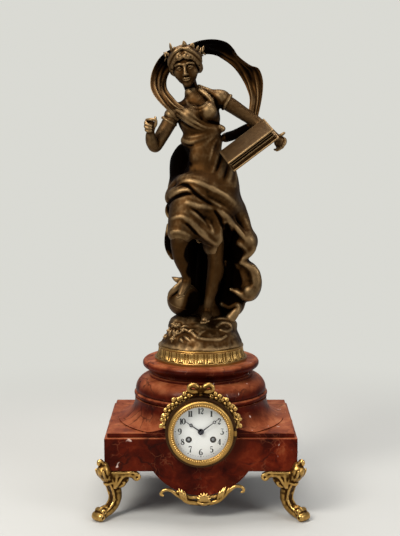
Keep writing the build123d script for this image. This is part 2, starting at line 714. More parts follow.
def gear_points(module, teeth, phase):
    """Outline of a wheel with straight-sided involute flanks, one tooth at the angle phase in degrees."""
    pitch = pitch_radius(module, teeth)
    tip = pitch + ADDENDUM_SHARE * module
    root = pitch - DEDENDUM_SHARE * module
    pressure = math.radians(PRESSURE_ANGLE)
    base = pitch * math.cos(pressure)
    half = math.pi / (2 * teeth) - BACKLASH / (4 * pitch)
    low = max(base, root)
    flank = []
    for radius in (low, (low + tip) / 2, tip):
        flank.append((radius, half + involute(pressure) - involute(math.acos(min(1, base / radius)))))
    points = []
    for k in range(teeth):
        middle = math.radians(phase) + 2 * math.pi * k / teeth
        rows = [(root, -flank[0][1])] if root < low else []
        rows += [(radius, -angle) for radius, angle in flank]
        rows += [(radius, angle) for radius, angle in reversed(flank)]
        rows += [(root, flank[0][1])] if root < low else []
        points += [(r * math.cos(middle + a), r * math.sin(middle + a)) for r, a in rows]
    return points


def saw_points(tip, root, teeth, phase):
    """Outline of a wheel with leaning pointed teeth."""
    points = []
    for k in range(teeth):
        points.append(polar(tip, phase + 360 * k / teeth))
        points.append(polar(root, phase + 360 * k / teeth))
    return points


def toothed(points, at, front_y, back_y):
    face = make_face(Polyline(*points, close=True))
    return extrude(facing(back_y, at) * face, amount=back_y - front_y)


def mesh_phase(first_phase, first_teeth, second_teeth, line_angle):
    """Phase that puts a gap of the second wheel where the first wheel's tooth comes."""
    lag = (line_angle - first_phase) * first_teeth / second_teeth
    return line_angle + 180 + lag + 180 / second_teeth


def spoked(points, at, front_y, back_y, rim, hub, arms):
    """Toothed wheel with its web cut away between arms."""
    wheel = toothed(points, at, front_y, back_y)
    window = rod(at, front_y, back_y, rim) - rod(at, front_y, back_y, hub)
    for k in range(arms):
        window -= bar(at, plus(at, polar(rim + hub, 360 * k / arms)), front_y, back_y, hub)
    return wheel - window


def arbor(at, radius):
    """Arbor between the plates with a pivot at each end."""
    body = rod(at, FRONT_PLATE_BACK_Y + END_SHAKE, BACK_PLATE_FRONT_Y - END_SHAKE, radius)
    return body + rod(at, FRONT_PLATE_FRONT_Y, BACK_PLATE_BACK_Y, PIVOT_RADIUS)


# Helpers for the figure
def figure_point(row):
    return (FIGURE_HEIGHT * row[0], FIGURE_HEIGHT * row[1], FIGURE_BASE_Z + FIGURE_HEIGHT * row[2])


def stacked(rows):
    """Loft through level ellipses."""
    sections = []
    for row in rows:
        plane = Plane(origin=figure_point(row))
        sections.append(plane * Ellipse(FIGURE_HEIGHT * row[3], FIGURE_HEIGHT * row[4]))
    return loft(sections)


def limb(rows):
    """Loft through circles square to the line they follow."""
    points = [Vector(*figure_point(row)) for row in rows]
    sections = []
    for k, row in enumerate(rows):
        run = points[min(k + 1, len(rows) - 1)] - points[max(k - 1, 0)]
        sections.append(Plane(origin=points[k], z_dir=run) * Circle(FIGURE_HEIGHT * row[3]))
    return loft(sections)


def row_between(rows, level):
    """Row of a table of level ellipses at one height, straight between its neighbours."""
    for low, high in zip(rows, rows[1:]):
        if low[2] <= level <= high[2]:
            part = (level - low[2]) / (high[2] - low[2])
            return [a + part * (b - a) for a, b in zip(low, high)]
    raise ValueError("level lies outside the table")


def beads_along(rows):
    """Balls in close order from one end of a roll to the other."""
    beads = [rows[-1]]
    for start, end in zip(rows, rows[1:]):
        for k in range(BEADS_PER_SPAN):
            beads.append([a + k / BEADS_PER_SPAN * (b - a) for a, b in zip(start, end)])
    return beads


def draped(core, rolls, levels):
    """Cloth drawn taut at each level round an upright core and the rolls about it, ruled between levels."""
    beads = [bead for rows in rolls for bead in beads_along(rows)]
    turns = [2 * math.pi * k / OUTLINE_POINTS for k in range(OUTLINE_POINTS)]
    sections = []
    for level in levels:
        x, y, z, half_width, half_depth = row_between(core, level)
        reaches = []
        for turn in turns:
            reach = 1 / math.sqrt((math.cos(turn) / half_width) ** 2 + (math.sin(turn) / half_depth) ** 2)
            for bead in beads:
                along = (bead[0] - x) * math.cos(turn) + (bead[1] - y) * math.sin(turn)
                aside = (bead[1] - y) * math.cos(turn) - (bead[0] - x) * math.sin(turn)
                room = bead[3] ** 2 - (bead[2] - level) ** 2 - aside ** 2
                if room > 0:
                    reach = max(reach, along + math.sqrt(room))
            reaches.append(reach)
        points = []
        for k, turn in enumerate(turns):
            reach = (reaches[k - 1] + 2 * reaches[k] + reaches[(k + 1) % OUTLINE_POINTS]) / 4
            points.append(figure_point((x + reach * math.cos(turn), y + reach * math.sin(turn), level)))
        sections.append(make_face(Spline(*points, periodic=True)))
    return loft(sections, ruled=True)


def ball(centre, radius):
    return Solid.make_sphere(radius, Plane(origin=centre))


# Places of the arbors, from the dial's axis
CENTRE = (0.0, 0.0)
GOING = (WINDING_SPREAD, -WINDING_DROP)
STRIKE = (-WINDING_SPREAD, -WINDING_DROP)
GREAT_PITCH = pitch_radius(GREAT_MODULE, GREAT_TEETH)
GREAT_REACH = GREAT_PITCH + pitch_radius(GREAT_MODULE, SECOND_PINION_TEETH)
SECOND_REACH = pitch_radius(SECOND_MODULE, SECOND_TEETH + CENTRE_PINION_TEETH)
SECOND = meet(GOING, GREAT_REACH, CENTRE, SECOND_REACH, 1)
THIRD = polar(pitch_radius(CENTRE_MODULE, CENTRE_TEETH + THIRD_PINION_TEETH), THIRD_ANGLE)
ESCAPE_REACH = pitch_radius(THIRD_MODULE, THIRD_TEETH + ESCAPE_PINION_TEETH)
ESCAPE = (0.0, THIRD[1] + math.sqrt(ESCAPE_REACH ** 2 - THIRD[0] ** 2))
ANCHOR = (0.0, ESCAPE[1] + ANCHOR_RISE)
MINUTE = (0.0, -pitch_radius(MINUTE_MODULE, CANNON_TEETH + MINUTE_TEETH))
PIN_WHEEL = plus(STRIKE, polar(GREAT_REACH, PIN_WHEEL_ANGLE))
HAMMER = (-HAMMER_SPREAD, HAMMER_RISE)
STAND = (STAND_X, -STAND_DROP)
PIVOTED = (SECOND, THIRD, ESCAPE, PIN_WHEEL)

nodes = {}


# Marble
def rounded_box(width, depth, low, high, round_by):
    box = Pos(0, 0, (low + high) / 2) * Box(width, depth, high - low)
    return fillet(box.edges(), round_by)


bore = rod(CENTRE, -FAR, FAR, BORE_RADIUS)
chamber = box_between(
    (-CHAMBER_HALF_WIDTH, CHAMBER_FRONT_Y, CHAMBER_BOTTOM_Z), (CHAMBER_HALF_WIDTH, CHAMBER_BACK_Y, DIAL_Z)
)
apron_middle_z = APRON_BOTTOM_Z + APRON_RADIUS
apron_plane = Plane(origin=(0, BLOCK_DEPTH / 2, apron_middle_z), x_dir=(1, 0, 0), z_dir=(0, -1, 0))
apron = Solid.make_cylinder(APRON_RADIUS, BLOCK_DEPTH, apron_plane)
apron -= box_between(
    (-FAR, -FAR, (BLOCK_BOTTOM_Z + BLOCK_TOP_Z) / 2), (FAR, FAR, FAR)
)
block = rounded_box(BLOCK_WIDTH, BLOCK_DEPTH, BLOCK_BOTTOM_Z, BLOCK_TOP_Z, BLOCK_EDGE_ROUND) + apron
block_whole = block
foot_screw_places = []
for side in (-1, 1):
    for end in (-1, 1):
        foot_screw_places.append((
            side * (BLOCK_WIDTH / 2 - FOOT_SCREW_INSET), end * (BLOCK_DEPTH / 2 - FOOT_WING_WIDTH / 2)
        ))
block = block - bore - chamber
for x, y in foot_screw_places:
    hole = Plane(origin=(x, y, BLOCK_BOTTOM_Z - FOOT_WING_HEIGHT))
    depth = FOOT_WING_HEIGHT + FOOT_SCREW_DEPTH + SCREW_CLEARANCE
    block -= Solid.make_cylinder(FOOT_SCREW_RADIUS + SCREW_CLEARANCE, depth, hole)
nodes["marble_block"] = block

slab_whole = rounded_box(SLAB_WIDTH, SLAB_DEPTH, BLOCK_TOP_Z, SLAB_TOP_Z, SLAB_EDGE_ROUND)
nodes["marble_slab"] = slab_whole - bore

half_root = math.sqrt(0.5)
cove_x = BELL_FOOT_RADIUS - (BELL_FOOT_RADIUS - BELL_WAIST_RADIUS) * half_root
cove_z = BELL_WAIST_Z - (BELL_WAIST_Z - SLAB_TOP_Z - BELL_FOOT_STEP) * half_root
shoulder_x = BELL_NECK_RADIUS + (BELL_SHOULDER_RADIUS - BELL_NECK_RADIUS) * half_root
shoulder_z = BELL_SHOULDER_Z + (BELL_NECK_Z - BELL_SHOULDER_Z) * half_root
bead_x = BELL_BEAD_RADIUS
bead_z = (BELL_BEAD_BOTTOM_Z + BELL_BEAD_TOP_Z) / 2
bell_whole = turned(
    (0, SLAB_TOP_Z),
    (BELL_FOOT_RADIUS, SLAB_TOP_Z),
    (BELL_FOOT_RADIUS, SLAB_TOP_Z + BELL_FOOT_STEP),
    (cove_x, cove_z, BELL_WAIST_RADIUS, BELL_WAIST_Z),
    (BELL_FILLET_RADIUS, BELL_WAIST_Z),
    (BELL_FILLET_RADIUS, BELL_BEAD_BOTTOM_Z),
    (bead_x, bead_z, BELL_FILLET_RADIUS, BELL_BEAD_TOP_Z),
    (BELL_FILLET_RADIUS, BELL_SHOULDER_Z),
    (BELL_SHOULDER_RADIUS, BELL_SHOULDER_Z),
    (shoulder_x, shoulder_z, BELL_NECK_RADIUS, BELL_NECK_Z),
    (BELL_NECK_RADIUS, BELL_TOP_Z),
    (0, BELL_TOP_Z),
)
bell_whole &= Pos(0, 0, SLAB_TOP_Z) * Box(FAR, SLAB_DEPTH, FAR)
rod_hole = Solid.make_cylinder(ROD_RADIUS + SCREW_CLEARANCE, FAR)
nodes["marble_bell"] = bell_whole - bore - rod_hole

disc_mid_z = (DISC_EDGE_BOTTOM_Z + DISC_TOP_Z) / 2
disc_under_x = DISC_NECK_RADIUS + (DISC_TOP_RADIUS - DISC_NECK_RADIUS) * (1 - half_root)
disc_under_z = DISC_NECK_Z + (DISC_EDGE_BOTTOM_Z - DISC_NECK_Z) * half_root
disc = turned(
    (0, BELL_TOP_Z),
    (DISC_NECK_RADIUS, BELL_TOP_Z),
    (DISC_NECK_RADIUS, DISC_NECK_Z),
    (disc_under_x, disc_under_z, DISC_TOP_RADIUS, DISC_EDGE_BOTTOM_Z),
    (DISC_RADIUS, disc_mid_z, DISC_TOP_RADIUS, DISC_TOP_Z),
    (0, DISC_TOP_Z),
)
nodes["marble_disc"] = disc - rod_hole

ring_band_foot_z = DISC_TOP_Z + RING_FOOT_HEIGHT
ring_bead_z = DISC_TOP_Z + RING_HEIGHT - RING_BEAD_HEIGHT
ring_hollow_x = (RING_BAND_FOOT_RADIUS + RING_BAND_TOP_RADIUS) / 2 - RING_BEAD_PROUD
nodes["socle_ring"] = turned(
    (RING_INNER_RADIUS, DISC_TOP_Z),
    (RING_FOOT_RADIUS, DISC_TOP_Z),
    (RING_FOOT_RADIUS, ring_band_foot_z),
    (RING_BAND_FOOT_RADIUS, ring_band_foot_z),
    (ring_hollow_x, (ring_band_foot_z + ring_bead_z) / 2, RING_BAND_TOP_RADIUS, ring_bead_z),
    (RING_BAND_TOP_RADIUS + RING_BEAD_PROUD, ring_bead_z + RING_BEAD_HEIGHT / 2,
     RING_BAND_TOP_RADIUS, FIGURE_BASE_Z),
    (RING_INNER_RADIUS, FIGURE_BASE_Z),
)


# Feet: one is drawn for the corner at +X +Y and mirrored to the others
def foot_place(reach, z, across=0.0):
    """Point on the diagonal plane of the corner, with an optional shift square to it."""
    out = (reach - across) * half_root
    over = (reach + across) * half_root
    return (BLOCK_WIDTH / 2 + out, BLOCK_DEPTH / 2 + over, z)


def foot_outline(rows):
    return [(FOOT_TOE_REACH * row[0], FOOT_HEIGHT * row[1]) for row in rows]


outer_line = foot_outline(FOOT_OUTER_SHARES)
inner_line = foot_outline(FOOT_INNER_SHARES)
foot_edges = [
    Spline(*outer_line),
    Line(outer_line[-1], inner_line[0]),
    Spline(*inner_line),
    Line(inner_line[-1], outer_line[0]),
]
foot_plane = Plane(origin=foot_place(0, 0, FOOT_WIDTH / 2), x_dir=(1, 1, 0), z_dir=(1, -1, 0))
foot = extrude(foot_plane * make_face(foot_edges), amount=FOOT_WIDTH)
toe_centre = FOOT_TOE_REACH - FOOT_TOE_RADIUS
toe_plane = Plane(
    origin=foot_place(toe_centre, FOOT_TOE_RADIUS - FOOT_PAD_SINK, -FOOT_TOE_WIDTH / 2), z_dir=(-1, 1, 0)
)
foot += Solid.make_cylinder(FOOT_TOE_RADIUS, FOOT_TOE_WIDTH, toe_plane)
foot += ball(foot_place(FOOT_EAR_RADIUS, FOOT_HEIGHT + FOOT_EAR_HEIGHT - FOOT_EAR_RADIUS), FOOT_EAR_RADIUS)
corner_x = BLOCK_WIDTH / 2
corner_y = BLOCK_DEPTH / 2
wing_low = BLOCK_BOTTOM_Z - FOOT_WING_HEIGHT
foot += box_between(
    (corner_x - FOOT_WING_LENGTH, corner_y - FOOT_WING_WIDTH, wing_low), (corner_x, corner_y, BLOCK_BOTTOM_Z)
)
foot += box_between(
    (corner_x - FOOT_WING_WIDTH, corner_y - FOOT_WING_LENGTH, wing_low), (corner_x, corner_y, BLOCK_BOTTOM_Z)
)
curl_z = BLOCK_BOTTOM_Z - FOOT_CURL_RADIUS
along_x = Plane(origin=(corner_x - FOOT_WING_LENGTH, corner_y, curl_z), z_dir=(0, -1, 0))
along_y = Plane(origin=(corner_x, corner_y - FOOT_WING_LENGTH, curl_z), z_dir=(-1, 0, 0))
foot += Solid.make_cylinder(FOOT_CURL_RADIUS, FOOT_WING_WIDTH, along_x)
foot += Solid.make_cylinder(FOOT_CURL_RADIUS, FOOT_WING_WIDTH, along_y)
foot -= box_between((-FAR, -FAR, -FAR), (FAR, FAR, 0))
foot -= block_whole
foot -= box_between((-corner_x, -corner_y, BLOCK_BOTTOM_Z), (corner_x, corner_y, BLOCK_TOP_Z))
screw_hole = Plane(origin=(*foot_screw_places[-1], wing_low))
foot -= Solid.make_cylinder(FOOT_SCREW_RADIUS + SCREW_CLEARANCE, FOOT_WING_HEIGHT, screw_hole)
foot_front = mirror(foot, Plane.XZ)
nodes["foot_rear_right"] = foot
nodes["foot_rear_left"] = mirror(foot, Plane.YZ)
nodes["foot_front_right"] = foot_front
nodes["foot_front_left"] = mirror(foot_front, Plane.YZ)

foot_screws = []
for x, y in foot_screw_places:
    head_base = Plane(origin=(x, y, wing_low - FOOT_SCREW_HEAD_HEIGHT))
    head = Solid.make_cylinder(FOOT_SCREW_HEAD_RADIUS, FOOT_SCREW_HEAD_HEIGHT, head_base)
    shank = Solid.make_cylinder(
        FOOT_SCREW_RADIUS, FOOT_WING_HEIGHT + FOOT_SCREW_DEPTH, Plane(origin=(x, y, wing_low))
    )
    foot_screws.append(head + shank)
nodes["foot_screws"] = foot_screws


# Gilt mounts on the front
def band(inner, outer, start, end, front_y, back_y, middle):
    """Part of a flat ring about a point of the front, between two angles."""
    sector = path(
        plus(middle, polar(inner, start)),
        [
            plus(middle, polar(outer, start)),
            (*plus(middle, polar(outer, (start + end) / 2)), *plus(middle, polar(outer, end))),
            plus(middle, polar(inner, end)),
        ],
    )
    return extrude(facing(back_y) * sector, amount=back_y - front_y) - rod(middle, front_y, back_y, inner)


apron_middle = (0.0, apron_middle_z - DIAL_Z)
mount = band(
    APRON_MOUNT_INNER_RADIUS, APRON_MOUNT_OUTER_RADIUS, -90 - APRON_MOUNT_HALF_ANGLE,
    -90 + APRON_MOUNT_HALF_ANGLE, APRON_MOUNT_FRONT_Y, APRON_MOUNT_BACK_Y, apron_middle,
)
mount_mean = (APRON_MOUNT_INNER_RADIUS + APRON_MOUNT_OUTER_RADIUS) / 2
for side in (-1, 1):
    curl = plus(apron_middle, polar(mount_mean, -90 + side * APRON_MOUNT_HALF_ANGLE))
    mount += rod(curl, APRON_SHELL_FRONT_Y, APRON_MOUNT_BACK_Y, APRON_MOUNT_CURL_RADIUS)
shell_at = plus(apron_middle, (0.0, -mount_mean))
mount += rod(shell_at, APRON_SHELL_FRONT_Y, APRON_MOUNT_BACK_Y, APRON_SHELL_RADIUS)
nodes["apron_mount"] = mount - block_whole

garland = band(
    GARLAND_INNER_RADIUS, GARLAND_OUTER_RADIUS, GARLAND_START_ANGLE, 180 - GARLAND_START_ANGLE,
    GARLAND_FRONT_Y, GARLAND_BACK_Y, CENTRE,
)
garland_mean = (GARLAND_INNER_RADIUS + GARLAND_OUTER_RADIUS) / 2
garland_y = (GARLAND_FRONT_Y + GARLAND_BACK_Y) / 2
for k in range(GARLAND_FLOWER_COUNT):
    share = k / (GARLAND_FLOWER_COUNT - 1)
    angle = GARLAND_START_ANGLE + (180 - 2 * GARLAND_START_ANGLE) * share
    x, w = polar(garland_mean, angle)
    garland += ball((x, garland_y, DIAL_Z + w), GARLAND_FLOWER_RADIUS)
for side in (-1, 1):
    loop_plane = Plane(origin=(side * BOW_LOOP_SPREAD, BOW_Y, BOW_LOOP_Z), z_dir=(0, -1, 0))
    garland += Solid.make_torus(BOW_LOOP_RADIUS, BOW_LOOP_THICKNESS, loop_plane)
garland += ball((0, BOW_Y, BOW_LOOP_Z - BOW_KNOT_RADIUS), BOW_KNOT_RADIUS)
garland -= rod(CENTRE, GARLAND_FRONT_Y - GARLAND_FLOWER_RADIUS, GARLAND_BACK_Y + GARLAND_FLOWER_RADIUS,
               GARLAND_INNER_RADIUS)
nodes["garland_mount"] = garland - bell_whole

# Bezel collar, door and glass
collar = turned_front(
    COLLAR_BACK_Y,
    (COLLAR_BORE_RADIUS, 0),
    (COLLAR_RADIUS, 0),
    (COLLAR_RADIUS, COLLAR_BACK_Y - COLLAR_FRONT_Y),
    (COLLAR_LIP_RADIUS, COLLAR_BACK_Y - COLLAR_FRONT_Y),
    (COLLAR_LIP_RADIUS, COLLAR_BACK_Y - DIAL_BACK_Y),
    (COLLAR_BORE_RADIUS, COLLAR_BACK_Y - DIAL_BACK_Y),
)
groove_middle_y = (COLLAR_FRONT_Y + GARLAND_FRONT_Y) / 2
collar -= facing(groove_middle_y) * Solid.make_torus(COLLAR_RADIUS, COLLAR_GROOVE_RADIUS)
collar = collar - block_whole - slab_whole - bell_whole
for side in (-1, 1):
    ends = sorted((side * COLLAR_LUG_INNER, side * (COLLAR_BORE_RADIUS + COLLAR_GROOVE_RADIUS)))
    collar += box_between(
        (ends[0], COLLAR_LUG_FRONT_Y, DIAL_Z - COLLAR_LUG_HALF_WIDTH),
        (ends[1], COLLAR_LUG_BACK_Y, DIAL_Z + COLLAR_LUG_HALF_WIDTH),
    ) - block_whole - slab_whole - bell_whole
pin_hole = Solid.make_cylinder(
    HINGE_PIN_RADIUS + RUNNING_GAP, 2 * FAR, Plane(origin=(HINGE_X, HINGE_Y, -FAR))
)


def knuckle(x, y, low, high, to_x, to_y):
    """Hinge knuckle about a vertical pin, with a lug to the plate it stands on."""
    barrel = Solid.make_cylinder(HINGE_RADIUS, high - low, Plane(origin=(x, y, low)))
    lows = (min(x - HINGE_PIN_RADIUS, to_x), min(y, to_y), low)
    highs = (max(x + HINGE_PIN_RADIUS, to_x), max(y, to_y), high)
    return barrel + box_between(lows, highs)


knuckle_low = DIAL_Z - HINGE_HALF_HEIGHT
knuckle_high = DIAL_Z + HINGE_HALF_HEIGHT
knuckle_room = HINGE_KNUCKLE_HALF + HINGE_GAP
knuckle_spans = ((knuckle_low, DIAL_Z - knuckle_room), (DIAL_Z + knuckle_room, knuckle_high))
for low, high in knuckle_spans:
    collar += knuckle(HINGE_X, HINGE_Y, low, high, HINGE_X, COLLAR_FRONT_Y)
nodes["bezel_collar"] = collar - pin_hole

door_depth = DOOR_BACK_Y - DOOR_FRONT_Y
door_mean = (DOOR_RADIUS + DOOR_OPENING_RADIUS) / 2
door = turned_front(
    DOOR_BACK_Y,
    (DOOR_REBATE_RADIUS, 0),
    (DOOR_RADIUS, 0),
    (DOOR_RADIUS, door_depth / 3),
    (door_mean + (DOOR_RADIUS - DOOR_OPENING_RADIUS) / 4, door_depth, door_mean, door_depth),
    (DOOR_OPENING_RADIUS, door_depth * 2 / 3),
    (DOOR_OPENING_RADIUS, DOOR_REBATE_DEPTH),
    (DOOR_REBATE_RADIUS, DOOR_REBATE_DEPTH),
)
door += knuckle(
    HINGE_X, HINGE_Y, DIAL_Z - HINGE_KNUCKLE_HALF, DIAL_Z + HINGE_KNUCKLE_HALF,
    door_mean + HINGE_RADIUS, HINGE_Y - HINGE_PIN_RADIUS,
)
nodes["bezel_door"] = door - pin_hole

glass_front = DOOR_REBATE_DEPTH
glass_back = glass_front - GLASS_THICKNESS
dome_radius = DOOR_OPENING_RADIUS - GLASS_BACK_GAP
dome_x, dome_rise = dome_middle(dome_radius, GLASS_BULGE)
nodes["bezel_glass"] = turned_front(
    DOOR_BACK_Y,
    (0, glass_back + GLASS_BULGE),
    (dome_x, glass_back + dome_rise, dome_radius, glass_back),
    (GLASS_RADIUS, glass_back),
    (GLASS_RADIUS, glass_front),
    (dome_radius, glass_front),
    (dome_x, glass_front + dome_rise, 0, glass_front + GLASS_BULGE),
)

front_pin = Solid.make_cylinder(
    HINGE_PIN_RADIUS, 2 * HINGE_HALF_HEIGHT, Plane(origin=(HINGE_X, HINGE_Y, knuckle_low))
)
rear_pin = Solid.make_cylinder(
    HINGE_PIN_RADIUS, 2 * HINGE_HALF_HEIGHT, Plane(origin=(HINGE_X, REAR_HINGE_Y, knuckle_low))
)
nodes["hinge_pins"] = [front_pin, rear_pin]

# Dial
winding_holes = [rod(at, -FAR, 0, DIAL_HOLE_RADIUS) for at in (GOING, STRIKE)]
centre_hole = rod(CENTRE, -FAR, 0, DIAL_HOLE_RADIUS)
dial = rod(CENTRE, DIAL_FRONT_Y, DIAL_BACK_Y, DIAL_RADIUS) - centre_hole
dial_plate = rod(CENTRE, DIAL_BACK_Y, DIAL_PLATE_BACK_Y, DIAL_PLATE_RADIUS) - centre_hole
for hole in winding_holes:
    dial -= hole
    dial_plate -= hole
for side in (-1, 1):
    notch_inner = COLLAR_LUG_INNER - SCREW_CLEARANCE
    notch_half = COLLAR_LUG_HALF_WIDTH + SCREW_CLEARANCE
    ends = sorted((side * notch_inner, side * FAR))
    dial_plate -= box_between((ends[0], -FAR, DIAL_Z - notch_half), (ends[1], FAR, DIAL_Z + notch_half))
dial_feet = [polar(DIAL_FOOT_RING, angle) for angle in DIAL_FOOT_ANGLES]
for at in dial_feet:
    dial_plate += rod(at, DIAL_PLATE_BACK_Y, FRONT_PLATE_BACK_Y, DIAL_FOOT_RADIUS)
nodes["dial"] = dial
nodes["dial_plate"] = dial_plate
collets = []
for at in (GOING, STRIKE):
    flange = rod(at, DIAL_FRONT_Y - COLLET_HEIGHT, DIAL_FRONT_Y, COLLET_OUTER_RADIUS)
    collets.append(flange - rod(at, DIAL_FRONT_Y - COLLET_HEIGHT, DIAL_FRONT_Y, DIAL_HOLE_RADIUS))
nodes["winding_collets"] = collets


# Hands, with a ring near the tip
def hand(length, ring_share, clock_angle, back_y, boss, hole):
    front_y = back_y - HAND_THICKNESS
    ring_at = length * ring_share
    blade = Polygon(
        (-HAND_ROOT_WIDTH / 2, 0), (HAND_ROOT_WIDTH / 2, 0), (HAND_TIP_WIDTH / 2, length),
        (-HAND_TIP_WIDTH / 2, length), align=None,
    )
    outline = blade + Pos(0, ring_at, 0) * Circle(HAND_RING_RADIUS) + Circle(boss)
    outline -= Pos(0, ring_at, 0) * Circle(HAND_RING_HOLE)
    outline -= Circle(hole)
    return extrude(facing(back_y) * Rot(0, 0, -clock_angle) * outline, amount=back_y - front_y)


nodes["hour_hand"] = hand(
    HOUR_HAND_LENGTH, HOUR_RING_SHARE, HOUR_HAND_ANGLE, HOUR_HAND_BACK_Y, HOUR_BOSS_RADIUS,
    HOUR_PIPE_RADIUS + RUNNING_GAP / 2,
)
minute_hand = hand(
    MINUTE_HAND_LENGTH, MINUTE_RING_SHARE, MINUTE_HAND_ANGLE, MINUTE_HAND_BACK_Y, MINUTE_BOSS_RADIUS,
    CANNON_PIPE_RADIUS + RUNNING_GAP / 2,
)
minute_front_y = MINUTE_HAND_BACK_Y - HAND_THICKNESS
minute_hand += rod(CENTRE, minute_front_y - HAND_CAP_HEIGHT, minute_front_y, HAND_CAP_RADIUS)
nodes["minute_hand"] = minute_hand

# Movement plates and pillars
front_plate = rod(CENTRE, FRONT_PLATE_FRONT_Y, FRONT_PLATE_BACK_Y, PLATE_RADIUS)
back_plate = rod(CENTRE, BACK_PLATE_FRONT_Y, BACK_PLATE_BACK_Y, PLATE_RADIUS)
for at in PIVOTED:
    front_plate -= rod(at, -FAR, 0, PIVOT_RADIUS + RUNNING_GAP)
    back_plate -= rod(at, -FAR, 0, PIVOT_RADIUS + RUNNING_GAP)
front_plate -= rod(ANCHOR, -FAR, 0, PIVOT_RADIUS + RUNNING_GAP)
back_plate -= rod(ANCHOR, -FAR, 0, ANCHOR_ARBOR_RADIUS + RUNNING_GAP)
front_plate -= rod(HAMMER, -FAR, 0, PIVOT_RADIUS + RUNNING_GAP)
back_plate -= rod(HAMMER, -FAR, 0, HAMMER_ARBOR_RADIUS + RUNNING_GAP)
front_plate -= rod(CENTRE, -FAR, 0, CENTRE_ARBOR_RADIUS + RUNNING_GAP)
back_plate -= rod(CENTRE, -FAR, 0, PIVOT_RADIUS + RUNNING_GAP)
for at in (GOING, STRIKE):
    front_plate -= rod(at, -FAR, 0, WINDING_ARBOR_RADIUS + RUNNING_GAP)
    back_plate -= rod(at, -FAR, 0, WINDING_REAR_PIVOT + RUNNING_GAP)
for at in dial_feet:
    front_plate -= rod(at, -FAR, 0, DIAL_FOOT_RADIUS + RUNNING_GAP / 2)
front_plate += rod(MINUTE, MINUTE_STUD_TIP_Y, FRONT_PLATE_FRONT_Y, MINUTE_STUD_RADIUS)
nodes["front_plate"] = front_plate
nodes["back_plate"] = back_plate
pillar_places = [polar(PILLAR_RING, angle) for angle in PILLAR_ANGLES]
nodes["pillars"] = [rod(at, FRONT_PLATE_BACK_Y, BACK_PLATE_FRONT_Y, PILLAR_RADIUS) for at in pillar_places]

# Barrels with their great wheels, and the winding arbors through them
great_phase = angle_to(GOING, SECOND)
strike_phase = angle_to(STRIKE, PIN_WHEEL)
arbor_hole = WINDING_ARBOR_RADIUS + RUNNING_GAP
for name, at, phase in (("going", GOING, great_phase), ("strike", STRIKE, strike_phase)):
    barrel = rod(at, BARREL_FRONT_Y, BARREL_BACK_Y, BARREL_RADIUS)
    barrel += toothed(gear_points(GREAT_MODULE, GREAT_TEETH, phase), at, BARREL_BACK_Y, GREAT_BACK_Y)
    nodes[f"{name}_barrel"] = barrel - rod(at, -FAR, 0, arbor_hole)
    winding = rod(at, WINDING_SHOULDER_Y, BACK_PLATE_FRONT_Y - END_SHAKE, WINDING_ARBOR_RADIUS)
    winding += rod(at, BACK_PLATE_FRONT_Y - END_SHAKE, BACK_PLATE_BACK_Y, WINDING_REAR_PIVOT)
    square = facing(WINDING_SHOULDER_Y, at) * Rectangle(WINDING_SQUARE, WINDING_SQUARE)
    winding += extrude(square, amount=WINDING_SHOULDER_Y - WINDING_TIP_Y)
    winding += toothed(
        saw_points(RATCHET_RADIUS, RATCHET_ROOT, RATCHET_TEETH, 0), at, RATCHET_FRONT_Y, RATCHET_BACK_Y
    )
    nodes[f"{name}_winding_arbor"] = winding

clicks = []
for at, lean in ((GOING, CLICK_ANGLE), (STRIKE, 180 - CLICK_ANGLE)):
    near = plus(at, polar(RATCHET_RADIUS + CLICK_GAP + CLICK_WIDTH / 2, lean))
    far = plus(near, polar(CLICK_LENGTH, lean))
    pawl = bar(near, far, RATCHET_FRONT_Y, RATCHET_BACK_Y, CLICK_WIDTH)
    clicks.append(pawl + rod(far, RATCHET_FRONT_Y, FRONT_PLATE_FRONT_Y, CLICK_STUD_RADIUS))
nodes["clicks"] = clicks


# Going train
def rim_of(module, teeth):
    """Inner radius of a wheel's rim."""
    return pitch_radius(module, teeth) - DEDENDUM_SHARE * module - 2 * PIVOT_RADIUS


second_pinion_phase = mesh_phase(great_phase, GREAT_TEETH, SECOND_PINION_TEETH, great_phase)
second_phase = angle_to(SECOND, CENTRE)
second = arbor(SECOND, ARBOR_RADIUS)
second += toothed(
    gear_points(GREAT_MODULE, SECOND_PINION_TEETH, second_pinion_phase), SECOND,
    SECOND_PINION_FRONT_Y, SECOND_PINION_BACK_Y,
)
second += spoked(
    gear_points(SECOND_MODULE, SECOND_TEETH, second_phase), SECOND, SECOND_FRONT_Y, SECOND_BACK_Y,
    rim_of(SECOND_MODULE, SECOND_TEETH), 2 * ARBOR_RADIUS, 5,
)
nodes["second_wheel"] = second

centre_pinion_phase = mesh_phase(second_phase, SECOND_TEETH, CENTRE_PINION_TEETH, second_phase)
centre_phase = angle_to(CENTRE, THIRD)
centre = rod(CENTRE, CENTRE_ARBOR_TIP_Y, BACK_PLATE_FRONT_Y - END_SHAKE, CENTRE_ARBOR_RADIUS)
centre += rod(CENTRE, BACK_PLATE_FRONT_Y - END_SHAKE, BACK_PLATE_BACK_Y, PIVOT_RADIUS)
centre += toothed(
    gear_points(SECOND_MODULE, CENTRE_PINION_TEETH, centre_pinion_phase), CENTRE,
    CENTRE_PINION_FRONT_Y, CENTRE_PINION_BACK_Y,
)
centre += spoked(
    gear_points(CENTRE_MODULE, CENTRE_TEETH, centre_phase), CENTRE, CENTRE_FRONT_Y, CENTRE_BACK_Y,
    rim_of(CENTRE_MODULE, CENTRE_TEETH), 2 * ARBOR_RADIUS, 4,
)
nodes["centre_wheel"] = centre

